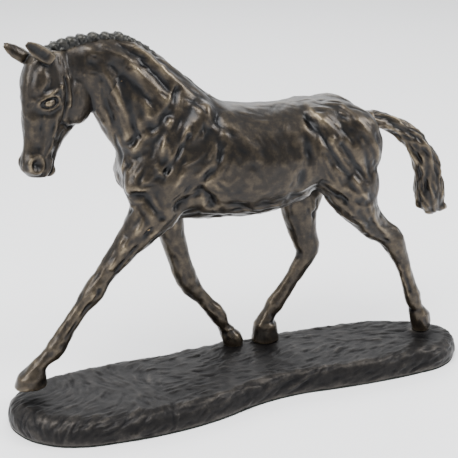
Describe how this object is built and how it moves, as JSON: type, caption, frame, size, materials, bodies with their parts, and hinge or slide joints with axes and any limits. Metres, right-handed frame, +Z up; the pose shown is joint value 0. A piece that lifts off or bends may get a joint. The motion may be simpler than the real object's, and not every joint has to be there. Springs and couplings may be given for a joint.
{
  "type": "bronze horse statuette",
  "caption": "Patinated bronze trotting horse with a plaited mane and flowing tail, on an organic earth-textured bronze base with a felt underside.",
  "frame": {"origin": "middle of the underside of the base, on the surface that the statuette stands on", "axes": "+Z up, +X along the base from the horse's head end to its tail end (the horse faces -X), +Y to the horse's off (right) side"},
  "size_m": [0.3841, 0.1125, 0.2971],
  "materials": {
    "patina_bronze": "brown-black patina, rubbed golden brown on the high places, satin",
    "base_bronze": "dark grey-brown patina, satin",
    "mane_bronze": "dark grey-green patina, satin",
    "felt": "dark green felt",
    "pin_bronze": "bare bronze",
    "steel": "zinc-plated steel"
  },
  "bodies": {
    "root": {"base_plinth": "base_bronze", "base_felt": "felt", "torso": "patina_bronze", "neck": "patina_bronze", "head": "patina_bronze", "mane_plaits": "mane_bronze", "near_foreleg": "patina_bronze", "off_foreleg": "patina_bronze", "off_hind_leg": "patina_bronze", "near_hind_leg": "patina_bronze", "tail": "patina_bronze", "near_fore_pin": "pin_bronze", "off_fore_pin": "pin_bronze", "off_hind_pin": "pin_bronze", "near_hind_pin": "pin_bronze", "tail_pin": "pin_bronze", "neck_pin": "pin_bronze", "head_pin": "pin_bronze", "off_fore_stud": "steel", "off_fore_washer": "steel", "off_fore_nut": "steel", "off_hind_stud": "steel", "off_hind_washer": "steel", "off_hind_nut": "steel", "near_hind_stud": "steel", "near_hind_washer": "steel", "near_hind_nut": "steel"}
  },
  "joints": []
}
